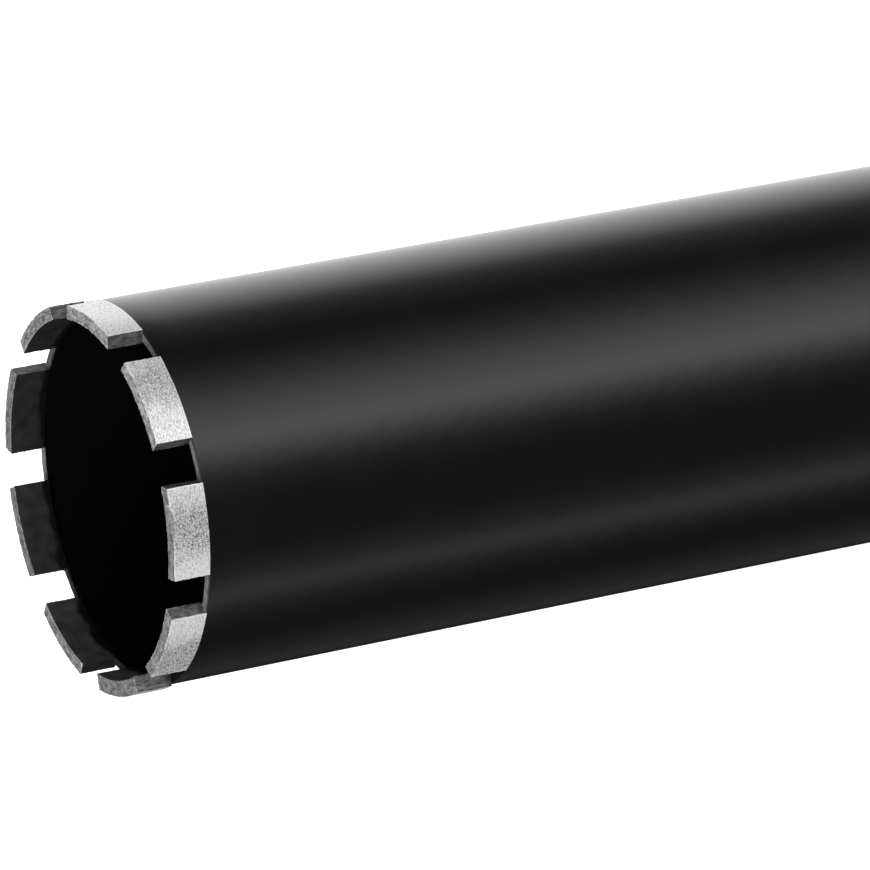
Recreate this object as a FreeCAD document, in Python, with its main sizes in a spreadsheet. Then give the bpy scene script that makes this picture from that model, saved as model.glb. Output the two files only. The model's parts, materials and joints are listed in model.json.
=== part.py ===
import FreeCAD, Part
import math
import os
import Sketcher

# Segmented diamond core bit: a thin steel tube with nine sintered segments brazed on its
# front rim, closed at the back by a turned plate that carries a hexagonal threaded hub.
# The bit stands on the hub's end face. Z runs along its axis towards the segments.
# All sizes are in millimetres.

Vector = FreeCAD.Vector

HEX_SIDES = 6
FULL_TURN = 360.0
# Two levels or radii closer than this count as the same one.
SAME = 1e-3

# Driving dimensions, one spreadsheet row each.
SIZES = (
    ("segment_count", 9),
    ("tube_outer_diameter", 101.0),
    ("tube_wall", 2.5),
    ("tube_length", 440.0),
    ("segment_length", 24.0),
    ("segment_height", 10.0),
    ("segment_outer_overhang", 0.5),
    ("segment_inner_overhang", 0.6),
    ("segment_edge_break", 0.25),
    ("plate_flange_thickness", 6.0),
    ("plate_spigot_height", 5.0),
    ("plate_edge_chamfer", 1.5),
    ("plate_spigot_chamfer", 0.8),
    ("weld_groove_depth", 1.5),
    ("hex_across_flats", 41.0),
    ("hex_height", 24.0),
    ("hex_face_diameter", 39.0),
    ("hex_corner_angle", 30.0),
    ("neck_diameter", 40.0),
    ("neck_height", 12.0),
    ("hub_spigot_diameter", 36.0),
    ("hub_spigot_rise", 1.0),
    ("hub_weld_leg", 5.0),
    ("thread_hole_diameter", 28.2),
    ("thread_mouth_chamfer", 1.9),
    ("locating_clearance", 0.05),
)

# Sizes that follow from the driving dimensions.
FOLLOWING = (
    ("tube_outer_radius", "=tube_outer_diameter / 2"),
    ("tube_inner_radius", "=tube_outer_radius - tube_wall"),
    ("neck_radius", "=neck_diameter / 2"),
    ("hub_spigot_radius", "=hub_spigot_diameter / 2"),
    ("thread_hole_radius", "=thread_hole_diameter / 2"),
    ("plate_hole_radius", "=hub_spigot_radius + locating_clearance"),
    ("plate_spigot_radius", "=tube_inner_radius - locating_clearance"),
    ("segment_outer_radius", "=tube_outer_radius + segment_outer_overhang"),
    ("segment_inner_radius", "=tube_inner_radius - segment_inner_overhang"),
    ("plate_back", "=hex_height + neck_height"),
    ("tube_back", "=plate_back + plate_flange_thickness"),
    ("plate_front", "=tube_back + plate_spigot_height"),
    ("hub_front", "=plate_front + hub_spigot_rise"),
    ("tube_front", "=tube_back + tube_length"),
    ("segment_step", "=360 / round(segment_count)"),
)


def make_sheet(doc):
    """Write every size into the sheet, one named cell to a row."""
    sheet = doc.addObject("Spreadsheet::Sheet", "sizes")
    for row, (alias, content) in enumerate(SIZES + FOLLOWING, start=1):
        name_cell = "A%d" % row
        value_cell = "B%d" % row
        sheet.set(name_cell, alias)
        sheet.set(value_cell, str(content))
        sheet.setAlias(value_cell, alias)
    doc.recompute()
    return sheet


def make_body(doc, name):
    body = doc.addObject("PartDesign::Body", name)
    body.Label = name
    return body


def origin_plane(body, role):
    """The body's own origin plane with the given role."""
    for feature in body.Origin.OriginFeatures:
        if feature.Role == role:
            return feature
    raise RuntimeError("no origin plane " + role)


def make_sketch(body, name, role):
    sketch = body.newObject("Sketcher::SketchObject", name)
    sketch.AttachmentSupport = [(origin_plane(body, role), "")]
    sketch.MapMode = "FlatFace"
    return sketch


def value_of(sheet, formula):
    """The number that a formula of sheet names and arithmetic gives at present."""
    return float(sheet.evalExpression(formula))


def bind(sketch, constraint, formula):
    """Add a driving constraint and tie it to the sheet."""
    index = sketch.addConstraint(constraint)
    sketch.setExpression("Constraints[%d]" % index, formula)


def half_section(sheet, sketch, corners):
    """Draw a closed half section through (radius, height) corners given as formulas."""
    points = []
    for radius, height in corners:
        points.append(Vector(value_of(sheet, radius), value_of(sheet, height), 0))
    count = len(points)
    for side in range(count):
        sketch.addGeometry(Part.LineSegment(points[side], points[(side + 1) % count]))
    for side in range(count):
        sketch.addConstraint(Sketcher.Constraint("Coincident", side, 2, (side + 1) % count, 1))
    for side, (radius, height) in enumerate(corners):
        corner = points[side]
        bind(sketch, Sketcher.Constraint("DistanceX", -1, 1, side, 1, corner.x), radius)
        bind(sketch, Sketcher.Constraint("DistanceY", -1, 1, side, 1, corner.y), height)


def revolve(body, sketch, name):
    feature = body.newObject("PartDesign::Revolution", name)
    feature.Profile = sketch
    feature.ReferenceAxis = (sketch, ["V_Axis"])
    feature.Angle = FULL_TURN
    sketch.Visibility = False
    return feature


def turned_body(doc, sheet, name, corners):
    """A ring turned about Z from one half section."""
    body = make_body(doc, name)
    sketch = make_sketch(body, name + "_section", "XZ_Plane")
    half_section(sheet, sketch, corners)
    revolve(body, sketch, name + "_turned")
    return body


def make_tube(doc, sheet):
    """Drawn steel tube; its back rim is bevelled for the weld, its front rim is square."""
    corners = (
        ("sizes.tube_inner_radius", "sizes.tube_back"),
        ("sizes.tube_outer_radius - sizes.weld_groove_depth", "sizes.tube_back"),
        ("sizes.tube_outer_radius", "sizes.tube_back + sizes.weld_groove_depth"),
        ("sizes.tube_outer_radius", "sizes.tube_front"),
        ("sizes.tube_inner_radius", "sizes.tube_front"),
    )
    return turned_body(doc, sheet, "tube", corners)


def make_back_plate(doc, sheet):
    """Turned plate: a flange as wide as the tube and a spigot that centres in its bore."""
    corners = (
        ("sizes.plate_hole_radius", "sizes.plate_back"),
        ("sizes.tube_outer_radius - sizes.plate_edge_chamfer", "sizes.plate_back"),
        ("sizes.tube_outer_radius", "sizes.plate_back + sizes.plate_edge_chamfer"),
        ("sizes.tube_outer_radius", "sizes.tube_back - sizes.weld_groove_depth"),
        ("sizes.tube_outer_radius - sizes.weld_groove_depth", "sizes.tube_back"),
        ("sizes.plate_spigot_radius", "sizes.tube_back"),
        ("sizes.plate_spigot_radius", "sizes.plate_front - sizes.plate_spigot_chamfer"),
        ("sizes.plate_spigot_radius - sizes.plate_spigot_chamfer", "sizes.plate_front"),
        ("sizes.plate_hole_radius", "sizes.plate_front"),
    )
    return turned_body(doc, sheet, "back_plate", corners)


def make_rim_weld(doc, sheet):
    """Bead that fills the groove between tube and plate, dressed flush with both."""
    corners = (
        ("sizes.tube_outer_radius", "sizes.tube_back - sizes.weld_groove_depth"),
        ("sizes.tube_outer_radius - sizes.weld_groove_depth", "sizes.tube_back"),
        ("sizes.tube_outer_radius", "sizes.tube_back + sizes.weld_groove_depth"),
    )
    return turned_body(doc, sheet, "rim_weld", corners)


def make_hub_weld(doc, sheet):
    """Fillet bead in the corner between the hub's neck and the back of the plate."""
    corners = (
        ("sizes.neck_radius", "sizes.plate_back - sizes.hub_weld_leg"),
        ("sizes.neck_radius", "sizes.plate_back"),
        ("sizes.neck_radius + sizes.hub_weld_leg", "sizes.plate_back"),
    )
    return turned_body(doc, sheet, "hub_weld", corners)


def draw_hexagon(sheet, sketch):
    """Regular hexagon with two flats square to Y, and the threaded hole inside it."""
    corner_formula = "sizes.hex_across_flats / sqrt(3)"
    corner_radius = value_of(sheet, corner_formula)
    centre = Vector(0, 0, 0)
    upward = Vector(0, 0, 1)
    corners = []
    for side in range(HEX_SIDES):
        angle = 2 * math.pi * side / HEX_SIDES
        corners.append(Vector(corner_radius * math.cos(angle), corner_radius * math.sin(angle), 0))
    for side in range(HEX_SIDES):
        sketch.addGeometry(Part.LineSegment(corners[side], corners[(side + 1) % HEX_SIDES]))
    guide = sketch.addGeometry(Part.Circle(centre, upward, corner_radius), True)
    for side in range(HEX_SIDES):
        following = (side + 1) % HEX_SIDES
        sketch.addConstraint(Sketcher.Constraint("Coincident", side, 2, following, 1))
        sketch.addConstraint(Sketcher.Constraint("PointOnObject", side, 1, guide))
    for side in range(1, HEX_SIDES):
        sketch.addConstraint(Sketcher.Constraint("Equal", 0, side))
    sketch.addConstraint(Sketcher.Constraint("Horizontal", 1))
    sketch.addConstraint(Sketcher.Constraint("Coincident", guide, 3, -1, 1))
    bind(sketch, Sketcher.Constraint("Radius", guide, corner_radius), corner_formula)

    hole_formula = "sizes.thread_hole_radius"
    hole_radius = value_of(sheet, hole_formula)
    hole = sketch.addGeometry(Part.Circle(centre, upward, hole_radius))
    sketch.addConstraint(Sketcher.Constraint("Coincident", hole, 3, -1, 1))
    bind(sketch, Sketcher.Constraint("Radius", hole, hole_radius), hole_formula)


def corner_cut(sheet, body, name, at_top):
    """Cone that takes the six corners off one end of the hexagon."""
    face = "sizes.hex_face_diameter / 2"
    outside = "sizes.hex_across_flats"
    drop = "(%s - %s) * tan(sizes.hex_corner_angle * 1 deg)" % (outside, face)
    if at_top:
        level = "sizes.hex_height"
        below = "sizes.hex_height - (%s)" % drop
    else:
        level = "0"
        below = drop
    sketch = make_sketch(body, name + "_section", "XZ_Plane")
    half_section(sheet, sketch, ((face, level), (outside, level), (outside, below)))
    groove = body.newObject("PartDesign::Groove", name)
    groove.Profile = sketch
    groove.ReferenceAxis = (sketch, ["V_Axis"])
    groove.Angle = FULL_TURN
    sketch.Visibility = False
    return groove


def hole_mouths(shape, radius):
    """Names of the circular edges where a hole of this radius leaves the shape."""
    names = []
    lowest = shape.BoundBox.ZMin
    highest = shape.BoundBox.ZMax
    for index, edge in enumerate(shape.Edges, start=1):
        curve = edge.Curve
        if not isinstance(curve, Part.Circle) or abs(curve.Radius - radius) > SAME:
            continue
        height = curve.Center.z
        if min(abs(height - lowest), abs(height - highest)) < SAME:
            names.append("Edge%d" % index)
    return names


def make_hub(doc, sheet):
    """Hexagon for the spanner, round neck, and a spigot through the plate, bored right through."""
    body = make_body(doc, "hub")
    hexagon = make_sketch(body, "hub_hexagon", "XY_Plane")
    draw_hexagon(sheet, hexagon)
    pad = body.newObject("PartDesign::Pad", "hub_hex")
    pad.Profile = hexagon
    pad.setExpression("Length", "sizes.hex_height")
    hexagon.Visibility = False
    doc.recompute()
    corner_cut(sheet, body, "hub_corners_below", False)
    doc.recompute()
    corner_cut(sheet, body, "hub_corners_above", True)
    doc.recompute()

    section = make_sketch(body, "hub_neck_section", "XZ_Plane")
    corners = (
        ("sizes.thread_hole_radius", "sizes.hex_height"),
        ("sizes.neck_radius", "sizes.hex_height"),
        ("sizes.neck_radius", "sizes.plate_back"),
        ("sizes.hub_spigot_radius", "sizes.plate_back"),
        ("sizes.hub_spigot_radius", "sizes.hub_front"),
        ("sizes.thread_hole_radius", "sizes.hub_front"),
    )
    half_section(sheet, section, corners)
    revolve(body, section, "hub_neck")
    doc.recompute()

    base = body.Tip
    mouths = hole_mouths(base.Shape, float(sheet.thread_hole_radius))
    chamfer = body.newObject("PartDesign::Chamfer", "hub_mouths")
    chamfer.Base = (base, mouths)
    chamfer.setExpression("Size", "sizes.thread_mouth_chamfer")
    return body


def draw_segment(sheet, sketch):
    """Arc block centred on +X: two arcs about the bit's axis and two parallel ends."""
    outer_formula = "sizes.segment_outer_radius"
    inner_formula = "sizes.segment_inner_radius"
    half_formula = "sizes.segment_length / 2"
    outer = value_of(sheet, outer_formula)
    inner = value_of(sheet, inner_formula)
    half = value_of(sheet, half_formula)
    centre = Vector(0, 0, 0)
    upward = Vector(0, 0, 1)
    outer_turn = math.asin(half / outer)
    inner_turn = math.asin(half / inner)
    outer_low = Vector(outer * math.cos(outer_turn), -half, 0)
    outer_high = Vector(outer_low.x, half, 0)
    inner_low = Vector(inner * math.cos(inner_turn), -half, 0)
    inner_high = Vector(inner_low.x, half, 0)

    outer_arc = sketch.addGeometry(
        Part.ArcOfCircle(Part.Circle(centre, upward, outer), -outer_turn, outer_turn))
    upper_end = sketch.addGeometry(Part.LineSegment(outer_high, inner_high))
    inner_arc = sketch.addGeometry(
        Part.ArcOfCircle(Part.Circle(centre, upward, inner), -inner_turn, inner_turn))
    lower_end = sketch.addGeometry(Part.LineSegment(inner_low, outer_low))
    joins = (
        (outer_arc, 2, upper_end, 1),
        (upper_end, 2, inner_arc, 2),
        (inner_arc, 1, lower_end, 1),
        (lower_end, 2, outer_arc, 1),
        (outer_arc, 3, -1, 1),
        (inner_arc, 3, -1, 1),
    )
    for join in joins:
        sketch.addConstraint(Sketcher.Constraint("Coincident", *join))
    sketch.addConstraint(Sketcher.Constraint("Horizontal", upper_end))
    sketch.addConstraint(Sketcher.Constraint("Horizontal", lower_end))
    sketch.addConstraint(Sketcher.Constraint("Symmetric", outer_arc, 1, outer_arc, 2, -1))
    bind(sketch, Sketcher.Constraint("Radius", outer_arc, outer), outer_formula)
    bind(sketch, Sketcher.Constraint("Radius", inner_arc, inner), inner_formula)
    bind(sketch, Sketcher.Constraint("DistanceY", -1, 1, outer_arc, 2, half), half_formula)


def free_edges(shape):
    """Names of the edges that don't lie in the brazed face at the shape's foot."""
    foot = shape.BoundBox.ZMin
    names = []
    for index, edge in enumerate(shape.Edges, start=1):
        if edge.BoundBox.ZMax > foot + SAME:
            names.append("Edge%d" % index)
    return names


def make_segment(doc, sheet, number):
    """One sintered segment, seated on the tube's front rim at its own station."""
    body = make_body(doc, "segment_%d" % number)
    outline = make_sketch(body, "segment_%d_outline" % number, "XY_Plane")
    draw_segment(sheet, outline)
    pad = body.newObject("PartDesign::Pad", "segment_%d_block" % number)
    pad.Profile = outline
    pad.setExpression("Length", "sizes.segment_height")
    outline.Visibility = False
    doc.recompute()
    chamfer = body.newObject("PartDesign::Chamfer", "segment_%d_edges" % number)
    chamfer.Base = (pad, free_edges(pad.Shape))
    chamfer.setExpression("Size", "sizes.segment_edge_break")
    body.Placement = FreeCAD.Placement(Vector(0, 0, 0), FreeCAD.Rotation(Vector(0, 0, 1), 0))
    body.setExpression("Placement.Base.z", "sizes.tube_front")
    body.setExpression("Placement.Rotation.Angle", "%d * sizes.segment_step * 1 deg" % (number - 1))
    return body


def check_document(doc, bodies):
    """Stop on any failed object and on any sub-part that isn't one valid solid."""
    for item in doc.Objects:
        if "Invalid" in item.State or "Error" in item.State:
            raise RuntimeError("failed object " + item.Name)
    for body in bodies:
        shape = body.Shape
        if shape.isNull() or not shape.isValid() or len(shape.Solids) != 1:
            raise RuntimeError("bad solid " + body.Label)


def main():
    doc = FreeCAD.newDocument("core_bit")
    sheet = make_sheet(doc)
    bodies = [
        make_tube(doc, sheet),
        make_back_plate(doc, sheet),
        make_rim_weld(doc, sheet),
        make_hub(doc, sheet),
        make_hub_weld(doc, sheet),
    ]
    for number in range(1, round(sheet.segment_count) + 1):
        bodies.append(make_segment(doc, sheet, number))
    doc.recompute()
    check_document(doc, bodies)

    os.makedirs("parts", exist_ok=True)
    for body in bodies:
        body.Shape.exportStep(os.path.join("parts", body.Label + ".step"))
        print("%s volume %.1f mm3" % (body.Label, body.Shape.Volume))


main()
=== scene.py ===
import json
import math
from collections import namedtuple

import bpy
from mathutils import Matrix, Vector, noise


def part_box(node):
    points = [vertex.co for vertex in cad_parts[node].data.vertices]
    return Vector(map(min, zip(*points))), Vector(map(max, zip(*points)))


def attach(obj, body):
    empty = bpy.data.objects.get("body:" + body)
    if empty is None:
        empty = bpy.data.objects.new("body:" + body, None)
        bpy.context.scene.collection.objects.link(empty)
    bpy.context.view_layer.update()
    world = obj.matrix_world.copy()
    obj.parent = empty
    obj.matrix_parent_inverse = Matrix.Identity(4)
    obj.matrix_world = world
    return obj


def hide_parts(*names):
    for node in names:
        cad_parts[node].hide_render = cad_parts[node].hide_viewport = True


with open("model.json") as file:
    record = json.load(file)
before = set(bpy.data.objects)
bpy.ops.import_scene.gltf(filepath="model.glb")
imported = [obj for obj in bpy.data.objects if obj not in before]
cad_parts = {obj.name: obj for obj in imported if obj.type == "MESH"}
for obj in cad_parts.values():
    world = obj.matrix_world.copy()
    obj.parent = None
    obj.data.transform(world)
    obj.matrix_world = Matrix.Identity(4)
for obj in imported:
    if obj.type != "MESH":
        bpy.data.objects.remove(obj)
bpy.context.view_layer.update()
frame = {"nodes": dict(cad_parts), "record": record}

# A diamond core bit that stands on its hub, cutting end up: satin black tube with a bare
# front rim, nine sintered segments, a welded back plate and a threaded hub.
# Lengths are in metres; MM turns a value in millimetres into metres.

MM = 0.001
INCH = 25.4 * MM
TURN = 2 * math.pi

# Sizes and places that the frame gives.
TUBE_LOW, TUBE_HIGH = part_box("tube")
PLATE_LOW, PLATE_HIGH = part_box("back_plate")
HUB_LOW, HUB_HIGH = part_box("hub")
HUB_WELD_LOW, HUB_WELD_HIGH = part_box("hub_weld")
RIM_WELD_LOW, RIM_WELD_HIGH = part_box("rim_weld")
SEGMENT_LOW, SEGMENT_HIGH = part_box("segment_1")
SEGMENT_COUNT = sum(1 for node in frame["nodes"] if node.startswith("segment_"))
SPINDLE = next(m for m in frame["record"]["mounts"] if m["name"] == "spindle_thread")

# The barrel.
TUBE_RADIUS = TUBE_HIGH.x
TUBE_WALL = 2.5 * MM
BORE_RADIUS = TUBE_RADIUS - TUBE_WALL
RIM_HEIGHT = TUBE_HIGH.z
TUBE_BACK = TUBE_LOW.z
WELD_GROOVE = (RIM_WELD_HIGH.z - RIM_WELD_LOW.z) / 2

# A segment: half its length, thickness and height, and the radius of its middle.
SEGMENT_OUTER = SEGMENT_HIGH.x
SEGMENT_INNER = BORE_RADIUS - 0.6 * MM
SEGMENT_HALF = (
    (SEGMENT_HIGH.y - SEGMENT_LOW.y) / 2,
    (SEGMENT_OUTER - SEGMENT_INNER) / 2,
    (SEGMENT_HIGH.z - SEGMENT_LOW.z) / 2,
)
SEGMENT_MIDDLE = SEGMENT_INNER + SEGMENT_HALF[1]

# The hub: end face, neck and spigot are radii, and the thread is 1 1/4 inch with 7 turns
# to the inch.
HUB_FACE = 19.5 * MM
HUB_NECK = 20.0 * MM
HUB_SPIGOT = 18.0 * MM
HEX_TOP = 24.0 * MM
HUB_EDGE = 0.3 * MM
HUB_MOUTH = 1.9 * MM
CHAMFER_SLOPE = math.tan(math.radians(30))
THREAD_PITCH = INCH / 7
THREAD_CREST = SPINDLE["dims"]["r_mm"] * MM
THREAD_ROOT = 1.25 * INCH / 2
FLANK_SLOPE = math.tan(math.radians(30))


# Shapes


def smooth(low, high, value):
    """0 on low's side, 1 on high's side, and an easy curve between them."""
    t = max(0.0, min(1.0, (value - low) / (high - low)))
    return t * t * (3 - 2 * t)


def polar(radius, angle, height):
    """The point at this radius and angle about Z, and at this height."""
    return (radius * math.cos(angle), radius * math.sin(angle), height)


def new_object(name, vertices, faces, materials, finish_of=None):
    """A smooth-shaded mesh object; finish_of gives a face's material from its centre."""
    mesh = bpy.data.meshes.new(name)
    mesh.from_pydata(vertices, [], faces)
    for material in materials:
        mesh.materials.append(material)
    for polygon in mesh.polygons:
        polygon.use_smooth = True
        if finish_of is not None:
            polygon.material_index = finish_of(polygon.center)
    mesh.validate()
    mesh.update()
    piece = bpy.data.objects.new(name, mesh)
    bpy.context.scene.collection.objects.link(piece)
    return piece


def add_layer(piece, name, values):
    """Store a number at each vertex, for the piece's material to read."""
    layer = piece.data.attributes.new(name, "FLOAT", "POINT")
    layer.data.foreach_set("value", values)


def stand_for(piece, node):
    """The piece rides on the bit's one body and stands for a CAD node."""
    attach(piece, "root")
    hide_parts(node)
    return piece


def rounded(outline, radius):
    """The outline with each corner eased over this distance by a short curve."""
    steps = 3
    most_of_side = 0.45
    eased = []
    count = len(outline)
    for index, corner in enumerate(outline):
        back = outline[index - 1] - corner
        ahead = outline[(index + 1) % count] - corner
        start = corner + back.normalized() * min(radius, back.length * most_of_side)
        end = corner + ahead.normalized() * min(radius, ahead.length * most_of_side)
        for step in range(steps + 1):
            t = step / steps
            eased.append(start * (1 - t) ** 2 + corner * 2 * t * (1 - t) + end * t ** 2)
    return eased


def divided(outline, longest):
    """The outline with extra points, so that no side is longer than this."""
    points = []
    count = len(outline)
    for index, point in enumerate(outline):
        following = outline[(index + 1) % count]
        parts = max(1, math.ceil((following - point).length / longest))
        for part in range(parts):
            points.append(point.lerp(following, part / parts))
    return points


def ring_faces(around, count):
    """Faces between closed outlines of this many points that stand around the axis."""
    faces = []
    for station in range(around):
        here = station * count
        there = (station + 1) % around * count
        for index in range(count):
            following = (index + 1) % count
            faces.append((here + index, there + index, there + following, here + following))
    return faces


def lathe(name, outline, around, materials, finish_of=None, shift=None):
    """Turn a closed (radius, height) outline about Z; shift may move each point outward."""
    vertices = []
    for station in range(around):
        angle = TURN * station / around
        for point in outline:
            radius, height = point.x, point.y
            if shift is not None:
                radius, height = shift(angle, radius, height)
            vertices.append(polar(radius, angle, height))
    return new_object(name, vertices, ring_faces(around, len(outline)), materials, finish_of)


# Materials


class Nodes:
    """Short ways to add shader nodes to one material."""

    def __init__(self, name):
        self.material = bpy.data.materials.new(name)
        self.material.use_nodes = True
        self.tree = self.material.node_tree
        self.shader = self.tree.nodes["Principled BSDF"]
        self.place = self.tree.nodes.new("ShaderNodeTexCoord").outputs["Object"]

    def link(self, source, socket):
        self.tree.links.new(source, socket)

    def fill(self, socket, value):
        """Set a socket to a number, or link it to another node's output."""
        if isinstance(value, (int, float)):
            socket.default_value = value
        else:
            self.link(value, socket)

    def math(self, operation, first, second=0.0):
        node = self.tree.nodes.new("ShaderNodeMath")
        node.operation = operation
        self.fill(node.inputs[0], first)
        self.fill(node.inputs[1], second)
        return node.outputs[0]

    def product(self, first, *others):
        """All the values multiplied together."""
        for other in others:
            first = self.math("MULTIPLY", first, other)
        return first

    def blend(self, first, second, share):
        """Go from the first value to the second as share goes from 0 to 1."""
        gap = self.math("SUBTRACT", second, first)
        return self.math("ADD", first, self.product(gap, share))

    def ramp(self, value, low, high, at_low, at_high):
        """Map low..high to at_low..at_high, held beyond both ends."""
        node = self.tree.nodes.new("ShaderNodeMapRange")
        self.fill(node.inputs["Value"], value)
        self.fill(node.inputs["From Min"], low)
        self.fill(node.inputs["From Max"], high)
        self.fill(node.inputs["To Min"], at_low)
        self.fill(node.inputs["To Max"], at_high)
        return node.outputs["Result"]

    def noise(self, vector, scale, detail=2.0, roughness=0.5):
        node = self.tree.nodes.new("ShaderNodeTexNoise")
        self.link(vector, node.inputs["Vector"])
        node.inputs["Scale"].default_value = scale
        node.inputs["Detail"].default_value = detail
        node.inputs["Roughness"].default_value = roughness
        return node.outputs["Fac"]

    def cells(self, vector, scale):
        """Distance to the nearest of many scattered points."""
        node = self.tree.nodes.new("ShaderNodeTexVoronoi")
        self.link(vector, node.inputs["Vector"])
        node.inputs["Scale"].default_value = scale
        return node.outputs["Distance"]

    def around_axis(self, along, across, out):
        """Coordinates that follow the bit: arc length, height and radius, each scaled."""
        split = self.tree.nodes.new("ShaderNodeSeparateXYZ")
        self.link(self.place, split.inputs[0])
        angle = self.math("ARCTAN2", split.outputs["Y"], split.outputs["X"])
        squares = self.math("ADD", self.math("POWER", split.outputs["X"], 2.0),
                            self.math("POWER", split.outputs["Y"], 2.0))
        radius = self.math("SQRT", squares)
        join = self.tree.nodes.new("ShaderNodeCombineXYZ")
        self.link(self.product(angle, TUBE_RADIUS * along), join.inputs["X"])
        self.link(self.product(split.outputs["Z"], across), join.inputs["Y"])
        self.link(self.product(radius, out), join.inputs["Z"])
        return join.outputs[0]

    def attribute(self, name):
        """A number that is stored at the vertices."""
        node = self.tree.nodes.new("ShaderNodeAttribute")
        node.attribute_name = name
        return node.outputs["Fac"]

    def grey(self, value):
        """Use a number as the base colour's grey."""
        join = self.tree.nodes.new("ShaderNodeCombineColor")
        for channel in ("Red", "Green", "Blue"):
            self.link(value, join.inputs[channel])
        self.link(join.outputs["Color"], self.shader.inputs["Base Color"])

    def rough(self, value):
        """Use a number, fixed or from a node, as the roughness."""
        self.fill(self.shader.inputs["Roughness"], value)

    def bump(self, height, strength, distance):
        node = self.tree.nodes.new("ShaderNodeBump")
        node.inputs["Strength"].default_value = strength
        node.inputs["Distance"].default_value = distance
        self.link(height, node.inputs["Height"])
        self.link(node.outputs["Normal"], self.shader.inputs["Normal"])


def black_paint():
    """Satin black with a fine even grain."""
    nodes = Nodes("black_paint")
    grain = nodes.noise(nodes.place, scale=3200.0, roughness=0.6)
    drift = nodes.noise(nodes.place, scale=60.0)
    nodes.grey(nodes.ramp(drift, 0.3, 0.7, at_low=0.0045, at_high=0.0058))
    nodes.rough(nodes.ramp(grain, 0.3, 0.7, at_low=0.27, at_high=0.33))
    nodes.shader.inputs["IOR"].default_value = 1.45
    nodes.bump(grain, strength=0.35, distance=0.02 * MM)
    return nodes.material


def bore_black():
    """Dull black inside the tube, which gives back almost no light."""
    nodes = Nodes("bore_black")
    grain = nodes.noise(nodes.place, scale=900.0, detail=3.0)
    nodes.grey(nodes.ramp(grain, 0.3, 0.7, at_low=0.0012, at_high=0.0022))
    nodes.rough(0.85)
    nodes.shader.inputs["Specular IOR Level"].default_value = 0.05
    nodes.bump(grain, strength=0.3, distance=0.05 * MM)
    return nodes.material


def bare_rim():
    """Turned steel of the front rim, dulled by heat and flux, with painted shade in its darkest
    gaps.
    """
    nodes = Nodes("bare_rim")
    turned = nodes.around_axis(along=120.0, across=120.0, out=2600.0)
    streaks = nodes.noise(turned, scale=1.0, detail=3.0)
    patches = nodes.noise(nodes.place, scale=700.0, detail=3.0)
    speckle = nodes.product(nodes.ramp(streaks, 0.3, 0.7, at_low=0.85, at_high=1.1),
                            nodes.ramp(patches, 0.35, 0.65, at_low=0.7, at_high=1.25))
    tone = nodes.attribute("tone")
    nodes.grey(nodes.product(tone, speckle))
    # Where the tone is dark, from soot and painted shade, the steel turns more metallic, which
    # darkens its reflection too.
    soot_and_shade_metal = nodes.ramp(tone, 0.02, 0.15, at_low=1.0, at_high=0.4)
    nodes.link(soot_and_shade_metal, nodes.shader.inputs["Metallic"])
    nodes.rough(0.5)
    nodes.bump(patches, strength=0.4, distance=0.08 * MM)
    return nodes.material


def ground_speckle(nodes, grains, pits, pitted):
    """How the ground outer face varies: grains, scores, and holes in its pitted stretch."""
    scored = nodes.around_axis(along=1000.0, across=3600.0, out=3600.0)
    scores = nodes.noise(scored, scale=1.0, detail=3.0, roughness=0.6)
    big_pits = nodes.cells(nodes.place, scale=620.0)
    holes = nodes.product(nodes.ramp(pits, 0.16, 0.36, at_low=0.02, at_high=0.84),
                          nodes.ramp(grains, 0.38, 0.54, at_low=0.4, at_high=1.0),
                          nodes.ramp(big_pits, 0.12, 0.22, at_low=0.15, at_high=1.03))
    darkest = 0.02
    pitting = nodes.math("MAXIMUM", nodes.blend(1.04, holes, pitted), darkest)
    return nodes.product(nodes.ramp(grains, 0.36, 0.58, at_low=0.66, at_high=1.16),
                         nodes.ramp(scores, 0.36, 0.62, at_low=0.6, at_high=1.24),
                         pitting)


def pressed_speckle(nodes, grains):
    """How the pressed faces vary: soft patches under the grains."""
    pressed = nodes.around_axis(along=600.0, across=330.0, out=1250.0)
    patches = nodes.noise(pressed, scale=1.0, detail=3.0, roughness=0.7)
    return nodes.product(nodes.ramp(patches, 0.36, 0.64, at_low=0.4, at_high=1.6),
                         nodes.ramp(grains, 0.36, 0.6, at_low=0.7, at_high=1.2))


def edge_wear_and_highlight(nodes, grains, edge):
    """How much brighter the edges are in patches: rubbed bright, and a painted highlight along
    them.
    """
    patches = nodes.ramp(nodes.noise(nodes.place, scale=330.0), 0.38, 0.56,
                         at_low=0.25, at_high=1.0)
    rubbed = nodes.product(edge, grains, patches)
    return nodes.ramp(rubbed, 0.06, 0.42, at_low=1.0, at_high=2.3)


def segment_metal():
    """Sintered metal: pale where it is ground, darker and rougher on the pressed faces."""
    nodes = Nodes("segment_metal")
    tone = nodes.attribute("tone")
    ground = nodes.attribute("ground")
    grit = nodes.attribute("grit")
    grains = nodes.noise(nodes.place, scale=3000.0, detail=3.0, roughness=0.65)
    pits = nodes.cells(nodes.place, scale=2200.0)
    worked = ground_speckle(nodes, grains, pits, nodes.attribute("pitted"))
    mottle = pressed_speckle(nodes, grains)
    speckle = nodes.blend(nodes.blend(1.0, mottle, grit), worked, ground)
    bright = edge_wear_and_highlight(nodes, grains, nodes.attribute("edge"))
    palest = 0.92
    nodes.grey(nodes.math("MINIMUM", nodes.product(tone, speckle, bright), palest))
    nodes.rough(nodes.ramp(ground, 0.0, 1.0, at_low=0.58, at_high=0.38))
    nodes.shader.inputs["Metallic"].default_value = 0.4
    grain_relief = nodes.product(grains, 0.6)
    pit_relief = nodes.product(nodes.ramp(pits, 0.1, 0.42, at_low=0.0, at_high=1.0), 0.4)
    relief = nodes.math("ADD", grain_relief, pit_relief)
    nodes.bump(nodes.product(relief, grit), strength=0.6, distance=0.08 * MM)
    return nodes.material


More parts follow.
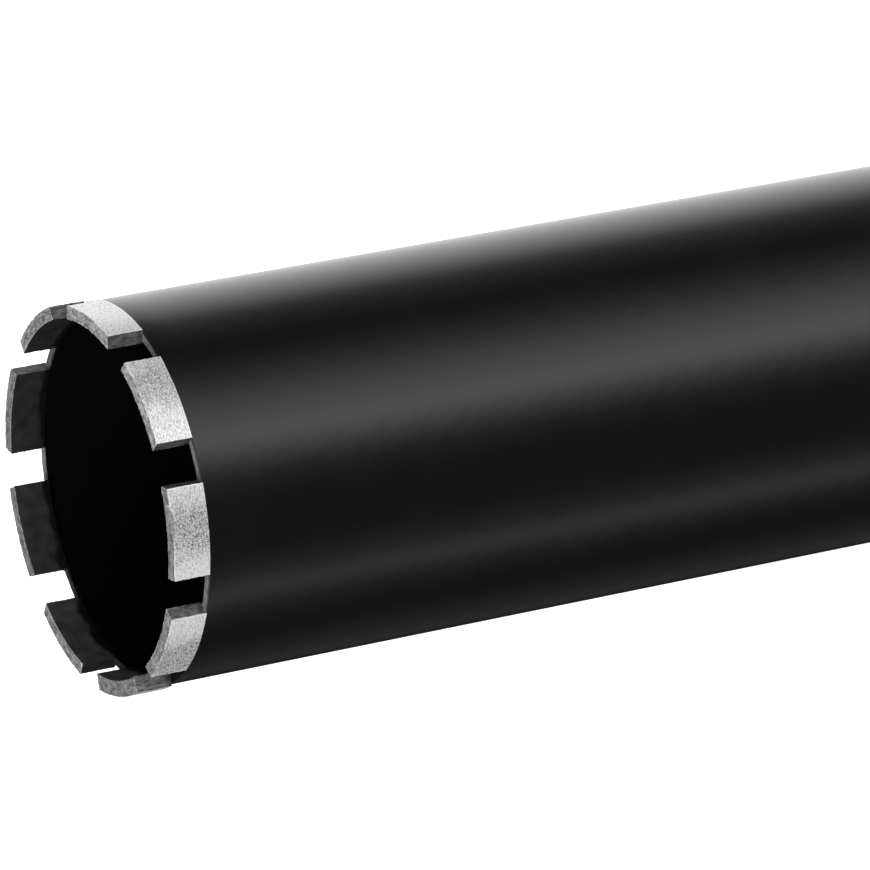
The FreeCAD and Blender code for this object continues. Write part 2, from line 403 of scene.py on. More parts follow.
def turned_steel():
    """Bare machined steel with fine turning marks."""
    nodes = Nodes("turned_steel")
    turned = nodes.around_axis(along=40.0, across=4200.0, out=4200.0)
    marks = nodes.noise(turned, scale=1.0)
    nodes.grey(nodes.ramp(marks, 0.3, 0.7, at_low=0.42, at_high=0.56))
    nodes.rough(nodes.ramp(marks, 0.3, 0.7, at_low=0.26, at_high=0.38))
    nodes.shader.inputs["Metallic"].default_value = 1.0
    nodes.bump(marks, strength=0.25, distance=0.03 * MM)
    return nodes.material


# Barrel

# How pale the bare rim is in each gap between segments, from the gap after segment_1 on:
# soot from the brazing has blackened it in some of them, and the darkest gaps, after segment_4,
# segment_5 and segment_6, also carry painted shade.
RIM_TONES = (0.2, 0.21, 0.42, 0.12, 0.06, 0.025, 0.28, 0.33, 0.25)
# Height in millimetres of the braze that has run over the rim, in the same gaps.
RIM_FILMS = (0.1, 0.15, 0.05, 0.1, 0.1, 0.1, 0.14, 0.18, 0.18)
# Where behind a segment one gap's value gives way to the next, as shares of the pitch.
GAP_CHANGE = (0.3, 0.7)
# Paint and soot on the rim's two edges: how bare the steel is at the very edge, and where
# it starts and ends to clear, in millimetres from the edge.
RimEdge = namedtuple("RimEdge", "bare start end")
RIM_OUTER_EDGE = RimEdge(0.2, 0.1, 0.6)
RIM_INNER_EDGE = RimEdge(0.25, 0.1, 0.5)
# Places of the rim's rows of points, as shares of the wall from its inside.
RIM_ROWS = (0.86, 0.7, 0.5, 0.3, 0.14, 0.0)
# Rounding of the barrel's edges, how much the rim's tone drifts along it, and the height in
# millimetres of the lumps on its braze.
RIM_ROUNDING = 0.12 * MM
RIM_DRIFT = 0.4
RIM_LUMPS = 0.1


def in_gap(values, angle):
    """The value of the gap at this angle, with an easy change behind each segment."""
    place = angle / TURN * SEGMENT_COUNT - 0.5
    first = math.floor(place)
    share = smooth(*GAP_CHANGE, place - first)
    before = values[first % SEGMENT_COUNT]
    after = values[(first + 1) % SEGMENT_COUNT]
    return before + (after - before) * share


def bareness(edge, distance):
    """How bare the rim is at this distance from one of its edges."""
    cleared = smooth(edge.start * MM, edge.end * MM, distance)
    return edge.bare + (1.0 - edge.bare) * cleared


def rim_tone(place):
    """How pale the rim's steel is at this place."""
    angle = math.atan2(place.y, place.x)
    drift = noise.noise(Vector(polar(9.0, angle, 2.0)))
    from_edge = TUBE_RADIUS - math.hypot(place.x, place.y)
    bare = bareness(RIM_OUTER_EDGE, from_edge)
    bare *= bareness(RIM_INNER_EDGE, TUBE_WALL - from_edge)
    return in_gap(RIM_TONES, angle) * bare * (1.0 + RIM_DRIFT * drift)


def make_tube(paint, rim, inside):
    """Thin-walled barrel, square at the front rim and bevelled for the weld at the back."""
    outline = [
        Vector((BORE_RADIUS, TUBE_BACK)),
        Vector((TUBE_RADIUS - WELD_GROOVE, TUBE_BACK)),
        Vector((TUBE_RADIUS, TUBE_BACK + WELD_GROOVE)),
        Vector((TUBE_RADIUS, RIM_HEIGHT)),
    ]
    for share in RIM_ROWS:
        outline.append(Vector((BORE_RADIUS + TUBE_WALL * share, RIM_HEIGHT)))
    outline = divided(rounded(outline, RIM_ROUNDING), longest=8 * MM)
    rim_start = RIM_HEIGHT - RIM_ROUNDING / 2
    middle = (BORE_RADIUS + TUBE_RADIUS) / 2

    def finish(centre):
        if centre.z > rim_start:
            return 1
        return 0 if math.hypot(centre.x, centre.y) > middle else 2

    piece = lathe("barrel", outline, around=288, materials=(paint, rim, inside), finish_of=finish)
    tones = []
    for vertex in piece.data.vertices:
        tones.append(rim_tone(vertex.co))
        if vertex.co.z > RIM_HEIGHT - 0.01 * MM:
            film = in_gap(RIM_FILMS, math.atan2(vertex.co.y, vertex.co.x))
            vertex.co.z += (film + RIM_LUMPS * noise.noise(vertex.co / MM * 0.9)) * MM
    add_layer(piece, "tone", tones)
    return stand_for(piece, "tube")


# Back plate and welds


def make_plate(paint, inside):
    """Turned plate with a bevelled flange and a spigot in the barrel's bore."""
    clearance = 0.05 * MM
    spigot_radius = BORE_RADIUS - clearance
    hole_radius = HUB_SPIGOT + clearance
    flange_edge = 1.5 * MM
    spigot_edge = 0.8 * MM
    outline = [
        Vector((hole_radius, PLATE_LOW.z)),
        Vector((TUBE_RADIUS - flange_edge, PLATE_LOW.z)),
        Vector((TUBE_RADIUS, PLATE_LOW.z + flange_edge)),
        Vector((TUBE_RADIUS, TUBE_BACK - WELD_GROOVE)),
        Vector((TUBE_RADIUS - WELD_GROOVE, TUBE_BACK)),
        Vector((spigot_radius, TUBE_BACK)),
        Vector((spigot_radius, PLATE_HIGH.z - spigot_edge)),
        Vector((spigot_radius - spigot_edge, PLATE_HIGH.z)),
        Vector((hole_radius, PLATE_HIGH.z)),
    ]
    outline = divided(rounded(outline, radius=0.2 * MM), longest=3 * MM)

    def finish(centre):
        return 1 if centre.z > TUBE_BACK else 0

    piece = lathe("closing_plate", outline, around=192, materials=(paint, inside),
                  finish_of=finish)
    return stand_for(piece, "back_plate")


def ripple(angle, laps, depth):
    """Height of the overlapping scallops that a weld bead is laid in."""
    uneven = 0.3
    swell = 0.6
    wander = noise.noise(Vector(polar(3.0, angle, laps * 0.1)))
    crest = abs(math.sin(math.pi * (angle / TURN * laps + uneven * wander)))
    return depth * (crest - 0.5) + depth * swell * wander


def make_rim_weld(paint):
    """Bead round the joint of barrel and plate, dressed nearly flush."""
    steps = 8
    bead_height = 0.18 * MM
    laps = 120
    scallop_depth = 0.05 * MM
    outline = [Vector((TUBE_RADIUS - WELD_GROOVE, TUBE_BACK))]
    for step in range(steps + 1):
        t = step / steps * 2 - 1
        rise = bead_height * (1 - t * t)
        outline.append(Vector((TUBE_RADIUS + rise, TUBE_BACK + WELD_GROOVE * t)))

    def scallop(angle, radius, height):
        if radius < TUBE_RADIUS + 0.02 * MM:
            return radius, height
        return radius + ripple(angle, laps, scallop_depth), height

    piece = lathe("barrel_weld", outline[::-1], around=720, materials=(paint,), shift=scallop)
    return stand_for(piece, "rim_weld")


def make_hub_weld(paint):
    """Fillet bead between the hub's neck and the plate."""
    steps = 10
    bead_height = 0.35 * MM
    laps = 46
    scallop_depth = 0.22 * MM
    leg = HUB_WELD_HIGH.z - HUB_WELD_LOW.z
    neck = HUB_WELD_HIGH.x - leg
    top = HUB_WELD_HIGH.z
    outline = [Vector((neck, top))]
    for step in range(steps + 1):
        t = step / steps
        bow = bead_height * math.sin(math.pi * t)
        outline.append(Vector((neck + leg * t + bow, top - leg * (1 - t) - bow)))

    def scallop(angle, radius, height):
        t = (radius - neck) / leg
        if t < 0.05 or t > 0.98:
            return radius, height
        lift = ripple(angle, laps, scallop_depth) * math.sin(math.pi * t)
        return radius + lift, height - lift

    piece = lathe("hub_bead", outline[::-1], around=540, materials=(paint,), shift=scallop)
    return stand_for(piece, "hub_weld")


# Hub


def thread_radius(angle, height):
    """Radius of the right-hand female thread's wall: flat crests, 60 degree flanks."""
    flank = (THREAD_ROOT - THREAD_CREST) * FLANK_SLOPE
    half_flat = THREAD_PITCH / 16
    phase = (height / THREAD_PITCH - angle / TURN) % 1.0 * THREAD_PITCH
    off = abs(phase - THREAD_PITCH / 2)
    if off < half_flat:
        return THREAD_ROOT
    if off < half_flat + flank:
        return THREAD_ROOT - (off - half_flat) / FLANK_SLOPE
    return THREAD_CREST


def hub_outline(angle):
    """The hub's closed outline at this angle: hexagon, neck, spigot and threaded bore."""
    thread_rows = 300
    flats = (HUB_HIGH.y - HUB_LOW.y) / 2
    from_flat = (angle % (TURN / 6)) - TURN / 12
    side = flats / math.cos(from_flat)
    drop = (side - HUB_FACE) * CHAMFER_SLOPE
    neck_drop = (HUB_NECK - HUB_FACE) * CHAMFER_SLOPE
    outline = [
        (HUB_FACE, HUB_LOW.z),
        (side, HUB_LOW.z + drop),
        (side, HEX_TOP / 2),
        (side, HEX_TOP - drop),
        (HUB_NECK, HEX_TOP - neck_drop),
        (HUB_NECK, HEX_TOP + HUB_EDGE),
        (HUB_NECK, PLATE_LOW.z),
        (HUB_SPIGOT, PLATE_LOW.z),
        (HUB_SPIGOT, HUB_HIGH.z - HUB_EDGE),
        (HUB_SPIGOT - HUB_EDGE, HUB_HIGH.z),
    ]
    for row in range(thread_rows + 1):
        height = HUB_HIGH.z + (HUB_LOW.z - HUB_HIGH.z) * row / thread_rows
        from_end = min(HUB_HIGH.z - height, height - HUB_LOW.z)
        mouth = THREAD_CREST + HUB_MOUTH - from_end
        outline.append((max(thread_radius(angle, height), mouth), height))
    return outline


def make_hub(paint, steel):
    """Hexagon, neck and spigot, bored through and threaded."""
    around = 144
    vertices = []
    for station in range(around):
        angle = TURN * station / around
        outline = hub_outline(angle)
        vertices.extend(polar(radius, angle, height) for radius, height in outline)

    def finish(centre):
        inside = math.hypot(centre.x, centre.y) < THREAD_CREST + HUB_MOUTH + 0.1 * MM
        end_face = centre.z < HUB_LOW.z + 0.02 * MM
        return 1 if inside or end_face else 0

    faces = ring_faces(around, len(outline))
    piece = new_object("spindle_hub", vertices, faces, (paint, steel), finish)
    piece.data.set_sharp_from_angle(angle=math.radians(24))
    return stand_for(piece, "hub")


# Segments

# How each segment is set and how it looks:
# out, side and turn: how it is set by hand, in millimetres and degrees
# braze_low and braze_high: how far the braze runs out at its two ends, in millimetres
# braze: how pale that braze is
# front and end: how pale its front and its ends are against the common tones; the end values are
# painted light and shade, set by how each end is lit
# pits_from and pits_to: where its outer face is pitted, in millimetres from the middle
# pitted: how pitted it is there
# pale_low and pale_high: painted light, how pale the two ends of that face are
# against the common tone
# thicker: how much thicker it is inside, in millimetres
# inner: how pale its inner face is, and rubbed: how far its edges are rubbed bright
# and given a painted highlight
Seat = namedtuple("Seat", "out side turn braze_low braze_high braze front end pits_from pits_to "
                          "pitted pale_low pale_high thicker inner rubbed",
                  defaults=(1.0, 1.0, 0.0, 1.0, 1.0))
SEATS = {
    1: Seat(out=0.08, side=-0.33, turn=-0.2, braze_low=0.3, braze_high=0.2, braze=0.175,
            front=1.22, end=1.03, pits_from=-13.0, pits_to=-6.0, pitted=0.35, pale_low=1.45),
    2: Seat(out=-0.1, side=0.0, turn=0.6, braze_low=0.2, braze_high=0.4, braze=0.145,
            front=1.12, end=0.85, pits_from=-4.0, pits_to=6.0, pitted=0.6, inner=0.65),
    3: Seat(out=0.11, side=0.24, turn=0.4, braze_low=0.4, braze_high=0.8, braze=0.42,
            front=0.86, end=1.7, pits_from=-9.0, pits_to=1.0, pitted=0.8, inner=0.72),
    4: Seat(out=-0.15, side=0.05, turn=-0.1, braze_low=0.2, braze_high=0.5, braze=0.06,
            front=0.83, end=0.35, pits_from=0.0, pits_to=9.0, pitted=0.7, inner=0.9),
    5: Seat(out=0.06, side=0.09, turn=-1.0, braze_low=0.2, braze_high=0.2, braze=0.02,
            front=0.95, end=0.12, pits_from=-6.0, pits_to=5.0, pitted=0.8, thicker=0.1,
            inner=1.7),
    6: Seat(out=0.3, side=0.0, turn=-0.2, braze_low=0.4, braze_high=0.4, braze=0.05, front=0.84,
            end=2.05, pits_from=-3.0, pits_to=8.0, pitted=0.6, thicker=0.7, inner=1.8,
            rubbed=0.3),
    7: Seat(out=-0.15, side=-0.13, turn=-0.6, braze_low=0.2, braze_high=0.3, braze=0.26,
            front=1.02, end=1.55, pits_from=-12.0, pits_to=3.0, pitted=1.1, pale_low=1.42,
            pale_high=1.28),
    8: Seat(out=-0.14, side=-0.05, turn=-0.3, braze_low=0.2, braze_high=0.3, braze=0.1,
            front=1.0, end=0.58, pits_from=-5.5, pits_to=6.5, pitted=1.0, pale_low=1.38,
            pale_high=1.18),
    9: Seat(out=0.05, side=0.28, turn=-0.6, braze_low=0.2, braze_high=0.25, braze=0.14,
            front=1.42, end=0.82, pits_from=-1.5, pits_to=9.0, pitted=0.76, pale_high=1.18),
}

# Common tones of a segment: ground outside, front, ends and blackened inside. The ends are darker
# than the front as painted shade, for the shade where they face the neighbouring segments.
TONE_OUTER = 0.72
TONE_FRONT = 0.36
TONE_END = 0.1
TONE_INNER = 0.045

# Grid of points, rounding of the edges, how far it varies, how wide they are rubbed bright and
# given a painted highlight, and how much of that the inner edges get.
SEGMENT_GRID = 0.25 * MM
SEGMENT_EDGE = 0.14 * MM
EDGE_VARIES = 0.5
EDGE_WIDTH = 0.3 * MM
EDGE_INSIDE = 0.3
# Relief of the faces and edges and depth of the pits, in millimetres. It starts above the
# foot, which stays flat on the rim.
FACE_RELIEF = 0.03
EDGE_RELIEF = 0.14
PIT_DEPTH = 0.06
PIT_RADIUS = 0.25
FLAT_FOOT = 0.3 * MM

# The braze that flares out at a segment's foot: its height, how it thins upward, how much
# it varies, how far past the wall's edges it reaches, over what width it ends there, and
# how quickly its colour covers the segment's.
FLARE_HEIGHT = 1.3 * MM
FLARE_POWER = 2.2
FLARE_VARIES = 0.5
FLARE_BEYOND_RIM = 0.2 * MM
FLARE_ENDS_OVER = 0.4 * MM
FLARE_COVER = 1.5

# The inner face: how much its tone varies, and how much its grit is smoothed. Then the
# black band at its foot: height and two scales of waviness in millimetres, the width of its
# soft limit, and how pale it is.
INNER_VARIES = 0.5
INNER_SMOOTHED = 0.85
BAND_HEIGHT = 2.0
BAND_WAVES = 1.6
BAND_RIPPLES = 0.5
BAND_SOFT = 0.7 * MM
BAND_PALE = 0.04

# Painted shade at the foot of the ends, where they meet the rim: where it starts and ends to
# clear, how that varies, and how pale the end is under it and above it.
FOOT_SHADE_FROM = 0.2 * MM
FOOT_SHADE_TO = 2.4 * MM
FOOT_SHADE_VARIES = 0.9 * MM
FOOT_SHADE_PALE = 0.3
CLEAR_PALE = 1.05

# How far the ends of a pitted stretch fade and wander, in millimetres.
PITS_FADE = 3.5
PITS_WANDER = 3.0

# Segments whose front outer corner is worn off: where along the segment the wear starts, is
# full, fades and ends, and how far it reaches down the outer face, all in millimetres.
Corner = namedtuple("Corner", "start full fade end reach")
WORN_CORNERS = {8: Corner(8.4, 4.2, 4.2, -1.5, 0.95)}
# Slope and tone of the worn corner, how much of the relief it keeps, how little reach still
# counts, the width of its new edge, where along the segment that edge turns bright, and
# over which reach the old edge gives way to it.
CORNER_SLOPE = 0.35
CORNER_TONE = 0.27
CORNER_KEEPS = 0.02
CORNER_LEAST = 0.05 * MM
CORNER_EDGE = 0.25 * MM
CORNER_BRIGHT = (2.5, 5.0)
CORNER_GIVES_WAY = (0.4 * MM, 0.1 * MM)


def edge_lines(half):
    """Grid stations from -half to half, closer together where the edges are rounded."""
    near = [half, half - SEGMENT_EDGE * 0.15, half - SEGMENT_EDGE * 0.5]
    inner = half - SEGMENT_EDGE
    parts = max(2, round(2 * inner / SEGMENT_GRID))
    middle = [-inner + 2 * inner * part / parts for part in range(parts + 1)]
    return [-value for value in near] + middle + near[::-1]


def box_surface(lines):
    """Points and faces of a box whose three axes carry these grid stations."""
    index_of = {}
    points = []
    faces = []

    def vertex(key):
        if key not in index_of:
            index_of[key] = len(points)
            points.append(tuple(lines[axis][key[axis]] for axis in range(3)))
        return index_of[key]

    for axis in range(3):
        first, second = (axis + 1) % 3, (axis + 2) % 3
        for at_end in (0, len(lines[axis]) - 1):
            for i in range(len(lines[first]) - 1):
                for j in range(len(lines[second]) - 1):
                    corners = []
                    for di, dj in ((0, 0), (1, 0), (1, 1), (0, 1)):
                        key = [0, 0, 0]
                        key[axis] = at_end
                        key[first] = i + di
                        key[second] = j + dj
                        corners.append(vertex(tuple(key)))
                    faces.append(tuple(corners if at_end else corners[::-1]))
    return points, faces


def rough_point(point, grit):
    """A grid point on the rough block: its place, its normal and how near an edge it is."""
    ease = SEGMENT_EDGE * (1.0 + EDGE_VARIES * noise.noise(grit * 1.1))
    core = Vector([max(-size + ease, min(size - ease, value))
                   for value, size in zip(point, SEGMENT_HALF)])
    normal = (Vector(point) - core).normalized()
    near = sorted(size - abs(value) for value, size in zip(point, SEGMENT_HALF))
    edge = max(0.0, 1.0 - near[1] / EDGE_WIDTH)
    relief = FACE_RELIEF * noise.noise(grit * 2.9)
    relief += EDGE_RELIEF * edge * noise.noise(grit * 1.3)
    to_pit = noise.voronoi(grit * 1.2)[0][0]
    relief -= PIT_DEPTH * max(0.0, 1.0 - to_pit / PIT_RADIUS)
    relief *= smooth(0.0, FLAT_FOOT, point[2] + SEGMENT_HALF[2])
    return core + normal * (ease + relief * MM), normal, edge


def worn_reach(number, at):
    """How far the worn corner reaches down the outer face at this place on the segment."""
    if number not in WORN_CORNERS:
        return 0.0
    corner = WORN_CORNERS[number]
    share = smooth(corner.start, corner.full, at) * smooth(corner.end, corner.fade, at)
    return corner.reach * MM * share


def worn_corner(number, at, place, normal, edge):
    """The point's depth, how near an edge it is and how worn, with the corner worn off."""
    reach = worn_reach(number, at)
    if reach <= CORNER_LEAST or place.y <= 0:
        return place.y, edge, 0.0
    from_front = SEGMENT_HALF[2] - place.z
    old_edge = smooth(*CORNER_GIVES_WAY, reach)
    new_edge = max(0.0, 1.0 - abs(from_front - reach) / CORNER_EDGE)
    edge = max(edge * old_edge, new_edge * smooth(*CORNER_BRIGHT, at))
    cut = max(0.0, 1.0 - from_front / reach)
    lowest = SEGMENT_HALF[1] - CORNER_SLOPE * reach * cut
    depth = min(place.y, lowest + CORNER_KEEPS * (place.y - lowest))
    worn = smooth(0.0, 0.15, cut) * smooth(0.0, 0.5, normal.y)
    return depth, edge, worn


def braze_flare(depth, above_foot, normal, grit):
    """How strongly the braze flares out at this place on a segment's foot."""
    inside_wall = min(SEGMENT_MIDDLE + depth - BORE_RADIUS, TUBE_RADIUS - SEGMENT_MIDDLE - depth)
    on_rim = smooth(0.0, FLARE_ENDS_OVER, inside_wall + FLARE_BEYOND_RIM)
    flare = max(0.0, 1.0 - above_foot / FLARE_HEIGHT) ** FLARE_POWER
    flare *= on_rim * abs(normal.x) * (1.0 + FLARE_VARIES * noise.noise(grit * 0.8))
    return flare


def seated(number, width, depth, height):
    """The block's point, bent round the bit's axis and set where the segment stands."""
    seat = SEATS[number]
    station = TURN * (number - 1) / SEGMENT_COUNT
    swing = math.radians(seat.turn)
    inward = smooth(SEGMENT_HALF[1], -SEGMENT_HALF[1], depth)
    radius = SEGMENT_MIDDLE + depth - seat.thicker * MM * inward
    lift = math.sqrt(radius * radius - width * width) - SEGMENT_MIDDLE
    outward = SEGMENT_MIDDLE + seat.out * MM + lift * math.cos(swing) - width * math.sin(swing)
    sideways = seat.side * MM + lift * math.sin(swing) + width * math.cos(swing)
    x = outward * math.cos(station) - sideways * math.sin(station)
    y = outward * math.sin(station) + sideways * math.cos(station)
    return (x, y, RIM_HEIGHT + SEGMENT_HALF[2] + height)


def outer_tone(seat, width):
    """How pale the outer face is, with painted light that changes evenly from one end to the
    other.
    """
    reach = 0.9 * SEGMENT_HALF[0]
    share = smooth(-reach, reach, width)
    return TONE_OUTER * (seat.pale_low + (seat.pale_high - seat.pale_low) * share)


def inner_tone(seat, above_foot, grit):
    """How pale the inner face is, with its black band at the foot."""
    waves = BAND_WAVES * noise.noise(grit * 0.16) + BAND_RIPPLES * noise.noise(grit * 0.7)
    band_top = (BAND_HEIGHT + waves) * MM
    cleared = smooth(band_top - BAND_SOFT, band_top + BAND_SOFT, above_foot)
    tone = TONE_INNER * (BAND_PALE + (1.0 - BAND_PALE) * cleared)
    return tone * seat.inner * (1.0 + INNER_VARIES * noise.noise(grit * 0.35))


def end_tone(seat, above_foot, grit):
    """How pale an end is, with painted shade at its foot."""
    cleared = smooth(FOOT_SHADE_FROM, FOOT_SHADE_TO, above_foot + FOOT_SHADE_VARIES * noise.noise(grit * 0.5))
    return TONE_END * seat.end * (FOOT_SHADE_PALE + (CLEAR_PALE - FOOT_SHADE_PALE) * cleared)


def pitted_share(seat, width, grit):
    """How pitted the ground face is at this place along the segment."""
    at = width / MM + PITS_WANDER * noise.noise(grit * 0.3)
    share = smooth(seat.pits_from - PITS_FADE, seat.pits_from + PITS_FADE, at)
    share *= smooth(seat.pits_to + PITS_FADE, seat.pits_to - PITS_FADE, at)
    return seat.pitted * share


def make_segment(number, metal):
    """One segment: an arc block with parallel ends, eased edges and a gritty surface."""
    # grit is the point in millimetres, moved by a seed that differs from segment to segment.
    # What it is multiplied by in a noise call sets how fine that noise is. The layers hold
    # how pale a point is, how far it is ground, how near an edge it is, how strong its grit
    # is and how pitted it is.
    seat = SEATS[number]
    seed = Vector((number * 7.31, number * 3.17, 0.0))
    points, faces = box_surface([edge_lines(size) for size in SEGMENT_HALF])
    vertices = []
    layers = {"tone": [], "ground": [], "edge": [], "grit": [], "pitted": []}
    for point in points:
        grit = Vector(point) / MM + seed
        above_foot = point[2] + SEGMENT_HALF[2]
        place, normal, edge = rough_point(point, grit)
        depth, edge, worn = worn_corner(number, point[0] / MM, place, normal, edge)
        flare = braze_flare(depth, above_foot, normal, grit)
        run_out = seat.braze_high if point[0] > 0 else seat.braze_low
        width = place.x + math.copysign(run_out * MM * flare, point[0])
        vertices.append(seated(number, width, depth, place.z))

        weights = [abs(value) ** 4 for value in normal]
        to_end, to_side, to_front = [weight / sum(weights) for weight in weights]
        faces_out = normal.y > 0
        if faces_out:
            side = outer_tone(seat, point[0])
        else:
            side = inner_tone(seat, above_foot, grit)
        tone = to_end * end_tone(seat, above_foot, grit) + to_side * side
        tone += to_front * TONE_FRONT * seat.front
        tone += (CORNER_TONE - tone) * worn
        tone += (seat.braze - tone) * min(1.0, flare * FLARE_COVER)
        layers["tone"].append(tone)
        layers["ground"].append(to_side * (1.0 - worn) if faces_out else 0.0)
        layers["edge"].append(edge * seat.rubbed * (1.0 if normal.y > -0.2 else EDGE_INSIDE))
        layers["grit"].append(1.0 - INNER_SMOOTHED * to_side if normal.y < 0 else 1.0)
        layers["pitted"].append(pitted_share(seat, point[0], grit))
    piece = new_object("cutting_segment_%d" % number, vertices, faces, (metal,))
    for name, values in layers.items():
        add_layer(piece, name, values)
    return stand_for(piece, "segment_%d" % number)


# Studio: camera, floor, cards, world and lamps

# The camera of the photograph: its place, the way it looks and its roll about that way in
# degrees, and its lens and sensor in millimetres.
CAMERA_PLACE = (0.636471, -1.402735, 1.148132)
CAMERA_LOOK_AZIMUTH = 114.3990
CAMERA_LOOK_ELEVATION = -26.1818
CAMERA_ROLL = 100.6542
CAMERA_LENS = 269.017
SENSOR = 36.0

# Half the floor's width, and where its glow to the camera grows from dim to white.
FLOOR_REACH = 12.0
GLOW_FROM = 0.3
GLOW_TO = 1.2
GLOW_DIM = 0.4

# Black cards: radius, foot and top of their drum, and the window towards the back, which
# spans these azimuths below this height.
CARD_RADIUS = 2.6
CARD_LOW = -4.0
CARD_HIGH = 4.0
WINDOW = (48.0, 105.0)
WINDOW_TOP = 0.6

# The world's light: on surfaces in general, and where it is seen. A mirrored world is this
# share of the way from the first to the second.
AMBIENT = 0.25
WORLD_SEEN = 1.0
MIRRORED_SHARE = 0.95

# Upright strips round the bit: azimuth of the middle and width in degrees, top, radiance.
STRIP_DISTANCE = 1.6
STRIP_LOW = -2.0
STRIPS = (
    ("key_0", -8.0, 14.0, 1.5, 0.35),
    ("key_a", -21.4, 12.0, 1.5, 1.1),
    ("key_b", -33.9, 13.0, 1.5, 1.75),
    ("key_c", -46.4, 12.0, 1.5, 2.75),
    ("key_d", -57.4, 10.0, 1.5, 0.95),
    ("side_a", -124.4, 12.0, 1.5, 0.15),
    ("side_b", -136.9, 13.0, 1.5, 0.87),
    ("side_c", -150.4, 14.0, 1.5, 0.05),
    ("side_e", 165.6, 26.0, 1.5, 0.08),
    ("side_f", 145.6, 14.0, 1.5, 0.1),
    ("fill", 36.0, 20.0, 1.5, 0.11),
    ("back_a", 57.2, 15.0, 0.6, 0.32),
    ("back_b", 72.2, 15.0, 0.6, 0.68),
    ("back_c", 87.2, 15.0, 0.6, 0.78),
    ("back_d", 102.2, 15.0, 0.6, 1.0),
)
# Softboxes above, which face this point near the rim: azimuth, elevation, distance and
# width in metres, radiance.
LAMP_AIM = Vector((0.0, 0.0, 0.45))
OVERHEAD = (
    ("top", 0.0, 90.0, 1.9, 1.4, 0.75),
    ("high_front", -115.0, 48.0, 2.0, 1.0, 4.5),
    ("high_left", -140.0, 48.0, 2.0, 1.0, 4.0),
    ("high_back", 80.0, 48.0, 2.0, 1.0, 0.4),
)


def along(azimuth, elevation=0.0):
    """Unit vector at this azimuth from +X and elevation, both in degrees."""
    turn, rise = math.radians(azimuth), math.radians(elevation)
    return Vector(polar(math.cos(rise), turn, math.sin(rise)))


def make_camera():
    data = bpy.data.cameras.new("camera")
    data.lens = CAMERA_LENS
    data.sensor_width = SENSOR
    data.clip_start = 0.05
    data.clip_end = 100.0
    camera = bpy.data.objects.new("camera", data)
    bpy.context.scene.collection.objects.link(camera)
    ahead = along(CAMERA_LOOK_AZIMUTH, CAMERA_LOOK_ELEVATION)
    level = ahead.to_track_quat("-Z", "Y").to_matrix()
    roll = Matrix.Rotation(math.radians(-CAMERA_ROLL), 3, "Z")
    camera.matrix_world = Matrix.Translation(CAMERA_PLACE) @ (level @ roll).to_4x4()
    bpy.context.scene.camera = camera


def make_floor():
    """Pale floor, white to the camera away from the bit, with the bit's soft shadow."""
    nodes = Nodes("floor")
    distance = nodes.tree.nodes.new("ShaderNodeVectorMath")
    distance.operation = "LENGTH"
    nodes.link(nodes.place, distance.inputs[0])
    glow = nodes.ramp(distance.outputs["Value"], GLOW_FROM, GLOW_TO, GLOW_DIM, 1.0)
    seen = nodes.tree.nodes.new("ShaderNodeLightPath").outputs["Is Camera Ray"]
    nodes.shader.inputs["Base Color"].default_value = (0.8, 0.8, 0.8, 1.0)
    nodes.rough(0.9)
    nodes.shader.inputs["Specular IOR Level"].default_value = 0.0
    nodes.shader.inputs["Emission Color"].default_value = (1.0, 1.0, 1.0, 1.0)
    nodes.link(nodes.product(glow, seen), nodes.shader.inputs["Emission Strength"])
    signs = ((-1, -1), (1, -1), (1, 1), (-1, 1))
    corners = [(x * FLOOR_REACH, y * FLOOR_REACH, 0) for x, y in signs]
    floor = new_object("floor", corners, [(0, 1, 2, 3)], (nodes.material,))
    floor.visible_glossy = False
    floor.visible_shadow = False


def make_cards():
    """Black cards round the set, seen in reflections alone, with a gap towards the back."""
    nodes = Nodes("black_card")
    nodes.shader.inputs["Base Color"].default_value = (0.0, 0.0, 0.0, 1.0)
    nodes.shader.inputs["Specular IOR Level"].default_value = 0.0
    wall_steps = 36
    lid_steps = 24
    vertices = []
    faces = []
    walls = (
        (WINDOW[1], 360.0 + WINDOW[0], CARD_LOW),
        (WINDOW[0], WINDOW[1], WINDOW_TOP),
    )
    for first, last, foot in walls:
        start = len(vertices)
        for step in range(wall_steps + 1):
            side = along(first + (last - first) * step / wall_steps) * CARD_RADIUS
            vertices.append((side.x, side.y, foot))
            vertices.append((side.x, side.y, CARD_HIGH))
        for step in range(wall_steps):
            corner = start + 2 * step
            faces.append((corner, corner + 2, corner + 3, corner + 1))
    for height in (CARD_LOW, CARD_HIGH):
        start = len(vertices)
        for step in range(lid_steps):
            side = along(360.0 * step / lid_steps) * CARD_RADIUS
            vertices.append((side.x, side.y, height))
        faces.append(tuple(range(start, start + lid_steps)))
    cards = new_object("cards", vertices, faces, (nodes.material,))
    cards.visible_camera = False
    cards.visible_diffuse = False
    cards.visible_transmission = False
    cards.visible_shadow = False


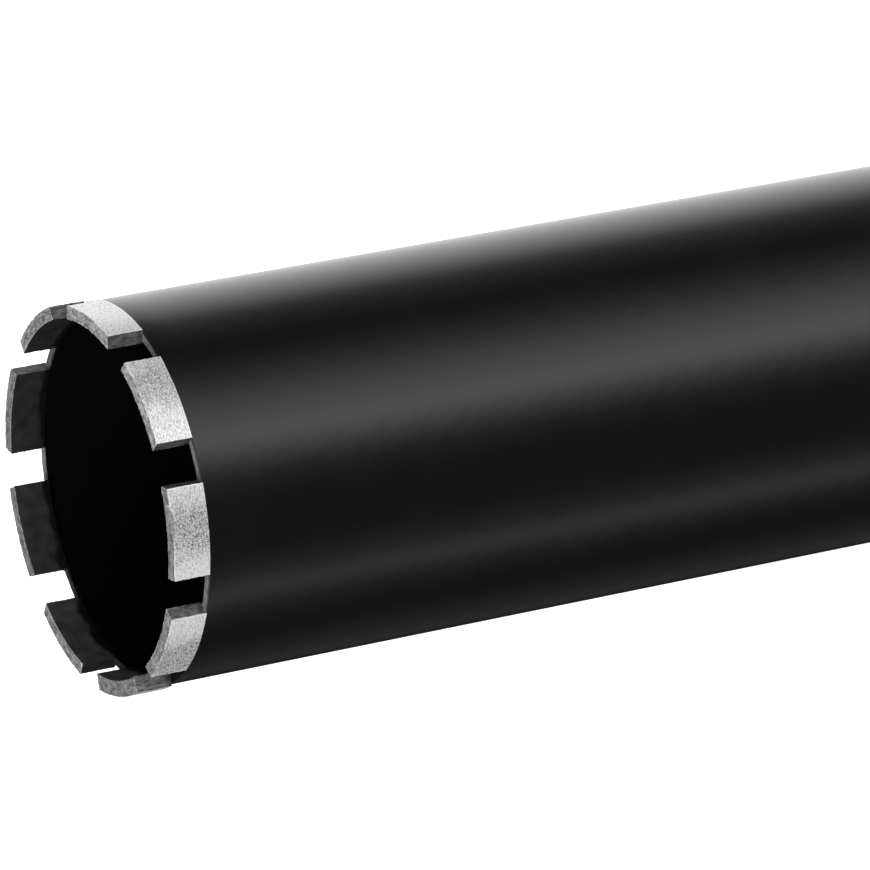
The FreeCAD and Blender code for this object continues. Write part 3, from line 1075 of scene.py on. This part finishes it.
def make_world():
    """White where it is seen, nearly white where it is mirrored, soft grey otherwise."""
    world = bpy.data.worlds.new("world")
    world.use_nodes = True
    tree = world.node_tree
    background = tree.nodes["Background"]
    path = tree.nodes.new("ShaderNodeLightPath")
    mirrored = tree.nodes.new("ShaderNodeMath")
    mirrored.operation = "MULTIPLY"
    tree.links.new(path.outputs["Is Glossy Ray"], mirrored.inputs[0])
    mirrored.inputs[1].default_value = MIRRORED_SHARE
    white = tree.nodes.new("ShaderNodeMath")
    white.operation = "MAXIMUM"
    tree.links.new(path.outputs["Is Camera Ray"], white.inputs[0])
    tree.links.new(mirrored.outputs[0], white.inputs[1])
    mix = tree.nodes.new("ShaderNodeMix")
    mix.data_type = "FLOAT"
    tree.links.new(white.outputs[0], mix.inputs["Factor"])
    mix.inputs["A"].default_value = AMBIENT
    mix.inputs["B"].default_value = WORLD_SEEN
    background.inputs["Color"].default_value = (1.0, 1.0, 1.0, 1.0)
    tree.links.new(mix.outputs["Result"], background.inputs["Strength"])
    bpy.context.scene.world = world


def make_lamp(name, place, facing, width, height, radiance):
    """A softbox at this place that faces this way, of this radiance over its face."""
    data = bpy.data.lights.new(name, "AREA")
    data.shape = "RECTANGLE"
    data.size = width
    data.size_y = height
    data.energy = radiance * math.pi * width * height
    lamp = bpy.data.objects.new(name, data)
    bpy.context.scene.collection.objects.link(lamp)
    lamp.location = place
    lamp.rotation_euler = facing.to_track_quat("-Z", "Y").to_euler()
    lamp.visible_camera = False


def make_lamps():
    """The strips, which face the axis level, and the softboxes, which face the crown."""
    for name, azimuth, width, top, radiance in STRIPS:
        span = 2 * STRIP_DISTANCE * math.tan(math.radians(width / 2))
        place = along(azimuth) * STRIP_DISTANCE
        place.z = (STRIP_LOW + top) / 2
        make_lamp(name, place, -along(azimuth), span, top - STRIP_LOW, radiance)
    for name, azimuth, elevation, distance, width, radiance in OVERHEAD:
        place = LAMP_AIM + along(azimuth, elevation) * distance
        make_lamp(name, place, LAMP_AIM - place, width, width, radiance)


make_camera()
paint = black_paint()
inside = bore_black()
steel = turned_steel()
metal = segment_metal()
make_tube(paint, bare_rim(), inside)
make_plate(paint, inside)
make_rim_weld(paint)
make_hub_weld(paint)
make_hub(paint, steel)
for number in range(1, SEGMENT_COUNT + 1):
    make_segment(number, metal)
make_floor()
make_cards()
make_world()
make_lamps()

bpy.context.scene.view_settings.view_transform = "Standard"
